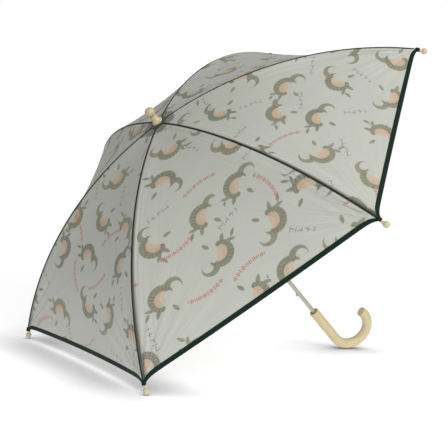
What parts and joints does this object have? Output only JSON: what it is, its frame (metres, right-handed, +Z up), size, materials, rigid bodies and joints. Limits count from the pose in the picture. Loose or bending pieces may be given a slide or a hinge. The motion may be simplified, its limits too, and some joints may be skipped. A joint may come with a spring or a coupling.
{
  "type": "children's umbrella",
  "caption": "Small stick umbrella with a crook handle, notched crown and runner, folding curved ribs with stretchers, spring catches and a printed satin canopy.",
  "frame": {"origin": "on the shaft's axis, level with the lowest point of the crook", "axes": "+Z up along the shaft towards the finial, +X through rib 1, ribs numbered anticlockwise seen from above"},
  "size_m": [0.7972, 0.6914, 0.5976],
  "materials": {
    "shaft_steel": "greige coated tube, satin",
    "frame_steel": "dark coated channel steel",
    "wire_steel": "bright wire",
    "cream_plastic": "moulded, satin cream",
    "pale_plastic": "moulded, soft gloss",
    "black_plastic": "moulded nylon",
    "canopy_fabric": "thin satin weave, printed",
    "green_fabric": "dark green binding tape"
  },
  "bodies": {
    "frame_root": {"shaft_tube": "shaft_steel", "crown_pin": "wire_steel", "stop_pin": "wire_steel", "handle": "cream_plastic", "handle_collar": "pale_plastic", "finial_ball": "pale_plastic", "finial_cap": "cream_plastic", "rosette": "green_fabric", "crown": "black_plastic", "crown_ring": "wire_steel"},
    "runner": {"runner": "black_plastic", "runner_ring": "wire_steel"},
    "top_catch": {"top_catch": "wire_steel"},
    "bottom_catch": {"bottom_catch": "wire_steel"},
    "rib_1": {"rib_1": "frame_steel", "rib_rivet_1": "wire_steel", "tip_cap_1": "pale_plastic"},
    "rib_2": {"rib_2": "frame_steel", "rib_rivet_2": "wire_steel", "tip_cap_2": "pale_plastic"},
    "rib_3": {"rib_3": "frame_steel", "rib_rivet_3": "wire_steel", "tip_cap_3": "pale_plastic"},
    "rib_4": {"rib_4": "frame_steel", "rib_rivet_4": "wire_steel", "tip_cap_4": "pale_plastic"},
    "rib_5": {"rib_5": "frame_steel", "rib_rivet_5": "wire_steel", "tip_cap_5": "pale_plastic"},
    "rib_6": {"rib_6": "frame_steel", "rib_rivet_6": "wire_steel", "tip_cap_6": "pale_plastic"},
    "stretcher_1": {"stretcher_1": "frame_steel"},
    "stretcher_2": {"stretcher_2": "frame_steel"},
    "stretcher_3": {"stretcher_3": "frame_steel"},
    "stretcher_4": {"stretcher_4": "frame_steel"},
    "stretcher_5": {"stretcher_5": "frame_steel"},
    "stretcher_6": {"stretcher_6": "frame_steel"},
    "panel_12a": {"panel_12a": "canopy_fabric"},
    "panel_12b": {"panel_12b": "canopy_fabric"},
    "panel_23a": {"panel_23a": "canopy_fabric", "tie_strap": "green_fabric", "strap_stud": "wire_steel"},
    "panel_23b": {"panel_23b": "canopy_fabric"},
    "panel_34a": {"panel_34a": "canopy_fabric"},
    "panel_34b": {"panel_34b": "canopy_fabric"},
    "panel_45a": {"panel_45a": "canopy_fabric"},
    "panel_45b": {"panel_45b": "canopy_fabric"},
    "panel_56a": {"panel_56a": "canopy_fabric"},
    "panel_56b": {"panel_56b": "canopy_fabric"},
    "panel_61a": {"panel_61a": "canopy_fabric"},
    "panel_61b": {"panel_61b": "canopy_fabric"}
  },
  "joints": [
    {"name": "umbrella_fold", "type": "hinge", "parent": "frame_root", "child": "rib_1", "pos_m": [0.0095, 0, 0.56442], "axis": [0, 1, 0], "range_deg": [0, 66.5], "deforming": ["panel_12a", "panel_12b", "panel_23a", "panel_23b", "panel_34a", "panel_34b", "panel_45a", "panel_45b", "panel_56a", "panel_56b", "panel_61a", "panel_61b"]},
    {"name": "rib_2_fold", "type": "hinge", "parent": "frame_root", "child": "rib_2", "pos_m": [0.00475, 0.00823, 0.56442], "axis": [-0.866, 0.5, 0], "range_deg": [0, 66.5]},
    {"name": "rib_3_fold", "type": "hinge", "parent": "frame_root", "child": "rib_3", "pos_m": [-0.00475, 0.00823, 0.56442], "axis": [-0.866, -0.5, 0], "range_deg": [0, 66.5]},
    {"name": "rib_4_fold", "type": "hinge", "parent": "frame_root", "child": "rib_4", "pos_m": [-0.0095, 0, 0.56442], "axis": [0, -1, 0], "range_deg": [0, 66.5]},
    {"name": "rib_5_fold", "type": "hinge", "parent": "frame_root", "child": "rib_5", "pos_m": [-0.00475, -0.00823, 0.56442], "axis": [0.866, -0.5, 0], "range_deg": [0, 66.5]},
    {"name": "rib_6_fold", "type": "hinge", "parent": "frame_root", "child": "rib_6", "pos_m": [0.00475, -0.00823, 0.56442], "axis": [0.866, 0.5, 0], "range_deg": [0, 66.5]},
    {"name": "stretcher_1_fold", "type": "hinge", "parent": "rib_1", "child": "stretcher_1", "pos_m": [0.19613, 0, 0.52877], "axis": [0, 1, 0], "range_deg": [-133, 0]},
    {"name": "stretcher_2_fold", "type": "hinge", "parent": "rib_2", "child": "stretcher_2", "pos_m": [0.09806, 0.16985, 0.52877], "axis": [-0.866, 0.5, 0], "range_deg": [-133, 0]},
    {"name": "stretcher_3_fold", "type": "hinge", "parent": "rib_3", "child": "stretcher_3", "pos_m": [-0.09806, 0.16985, 0.52877], "axis": [-0.866, -0.5, 0], "range_deg": [-133, 0]},
    {"name": "stretcher_4_fold", "type": "hinge", "parent": "rib_4", "child": "stretcher_4", "pos_m": [-0.19613, 0, 0.52877], "axis": [0, -1, 0], "range_deg": [-133, 0]},
    {"name": "stretcher_5_fold", "type": "hinge", "parent": "rib_5", "child": "stretcher_5", "pos_m": [-0.09806, -0.16985, 0.52877], "axis": [0.866, -0.5, 0], "range_deg": [-133, 0]},
    {"name": "stretcher_6_fold", "type": "hinge", "parent": "rib_6", "child": "stretcher_6", "pos_m": [0.09806, -0.16985, 0.52877], "axis": [0.866, 0.5, 0], "range_deg": [-133, 0]},
    {"name": "runner_fold", "type": "hinge", "parent": "stretcher_1", "child": "runner", "pos_m": [0.0095, 0, 0.49313], "axis": [0, 1, 0], "range_deg": [0, 66.5]},
    {"name": "panel_12a_fold", "type": "hinge", "parent": "rib_1", "child": "panel_12a", "pos_m": [0.0095, 0, 0.56442], "axis": [-0.5871, -0.7122, -0.3849], "range_deg": [0, 33.69]},
    {"name": "panel_12b_fold", "type": "hinge", "parent": "rib_2", "child": "panel_12b", "pos_m": [0.00475, 0.00823, 0.56442], "axis": [0.9103, 0.1523, 0.3849], "range_deg": [0, 33.69]},
    {"name": "panel_23a_fold", "type": "hinge", "parent": "rib_2", "child": "panel_23a", "pos_m": [0.00475, 0.00823, 0.56442], "axis": [0.3232, -0.8645, -0.3849], "range_deg": [0, 33.69]},
    {"name": "panel_23b_fold", "type": "hinge", "parent": "rib_3", "child": "panel_23b", "pos_m": [-0.00475, 0.00823, 0.56442], "axis": [0.3232, 0.8645, 0.3849], "range_deg": [0, 33.69]},
    {"name": "panel_34a_fold", "type": "hinge", "parent": "rib_3", "child": "panel_34a", "pos_m": [-0.00475, 0.00823, 0.56442], "axis": [0.9103, -0.1523, -0.3849], "range_deg": [0, 33.69]},
    {"name": "panel_34b_fold", "type": "hinge", "parent": "rib_4", "child": "panel_34b", "pos_m": [-0.0095, 0, 0.56442], "axis": [-0.5871, 0.7122, 0.3849], "range_deg": [0, 33.69]},
    {"name": "panel_45a_fold", "type": "hinge", "parent": "rib_4", "child": "panel_45a", "pos_m": [-0.0095, 0, 0.56442], "axis": [0.5871, 0.7122, -0.3849], "range_deg": [0, 33.69]},
    {"name": "panel_45b_fold", "type": "hinge", "parent": "rib_5", "child": "panel_45b", "pos_m": [-0.00475, -0.00823, 0.56442], "axis": [-0.9103, -0.1523, 0.3849], "range_deg": [0, 33.69]},
    {"name": "panel_56a_fold", "type": "hinge", "parent": "rib_5", "child": "panel_56a", "pos_m": [-0.00475, -0.00823, 0.56442], "axis": [-0.3232, 0.8645, -0.3849], "range_deg": [0, 33.69]},
    {"name": "panel_56b_fold", "type": "hinge", "parent": "rib_6", "child": "panel_56b", "pos_m": [0.00475, -0.00823, 0.56442], "axis": [-0.3232, -0.8645, 0.3849], "range_deg": [0, 33.69]},
    {"name": "panel_61a_fold", "type": "hinge", "parent": "rib_6", "child": "panel_61a", "pos_m": [0.00475, -0.00823, 0.56442], "axis": [-0.9103, 0.1523, -0.3849], "range_deg": [0, 33.69]},
    {"name": "panel_61b_fold", "type": "hinge", "parent": "rib_1", "child": "panel_61b", "pos_m": [0.0095, 0, 0.56442], "axis": [0.5871, -0.7122, 0.3849], "range_deg": [0, 33.69]},
    {"name": "bottom_catch_press", "type": "hinge", "parent": "frame_root", "child": "bottom_catch", "pos_m": [-0.00197, -0.00033, 0.1907], "axis": [0.1668, -0.986, 0], "range_deg": [0, 6.5], "stiffness_Nm_per_rad": 0.5},
    {"name": "top_catch_press", "type": "hinge", "parent": "frame_root", "child": "top_catch", "pos_m": [-0.00197, -0.00033, 0.44013], "axis": [-0.1668, 0.986, 0], "range_deg": [0, 6.5], "stiffness_Nm_per_rad": 0.5}
  ],
  "couplings": [
    {"joint": "rib_2_fold", "follows": "umbrella_fold", "ratio": 1},
    {"joint": "rib_3_fold", "follows": "umbrella_fold", "ratio": 1},
    {"joint": "rib_4_fold", "follows": "umbrella_fold", "ratio": 1},
    {"joint": "rib_5_fold", "follows": "umbrella_fold", "ratio": 1},
    {"joint": "rib_6_fold", "follows": "umbrella_fold", "ratio": 1},
    {"joint": "stretcher_1_fold", "follows": "umbrella_fold", "ratio": -2},
    {"joint": "stretcher_2_fold", "follows": "umbrella_fold", "ratio": -2},
    {"joint": "stretcher_3_fold", "follows": "umbrella_fold", "ratio": -2},
    {"joint": "stretcher_4_fold", "follows": "umbrella_fold", "ratio": -2},
    {"joint": "stretcher_5_fold", "follows": "umbrella_fold", "ratio": -2},
    {"joint": "stretcher_6_fold", "follows": "umbrella_fold", "ratio": -2},
    {"joint": "runner_fold", "follows": "umbrella_fold", "ratio": 1},
    {"joint": "panel_12a_fold", "follows": "umbrella_fold", "ratio": 0.50646},
    {"joint": "panel_12b_fold", "follows": "umbrella_fold", "ratio": 0.50646},
    {"joint": "panel_23a_fold", "follows": "umbrella_fold", "ratio": 0.50646},
    {"joint": "panel_23b_fold", "follows": "umbrella_fold", "ratio": 0.50646},
    {"joint": "panel_34a_fold", "follows": "umbrella_fold", "ratio": 0.50646},
    {"joint": "panel_34b_fold", "follows": "umbrella_fold", "ratio": 0.50646},
    {"joint": "panel_45a_fold", "follows": "umbrella_fold", "ratio": 0.50646},
    {"joint": "panel_45b_fold", "follows": "umbrella_fold", "ratio": 0.50646},
    {"joint": "panel_56a_fold", "follows": "umbrella_fold", "ratio": 0.50646},
    {"joint": "panel_56b_fold", "follows": "umbrella_fold", "ratio": 0.50646},
    {"joint": "panel_61a_fold", "follows": "umbrella_fold", "ratio": 0.50646},
    {"joint": "panel_61b_fold", "follows": "umbrella_fold", "ratio": 0.50646}
  ]
}
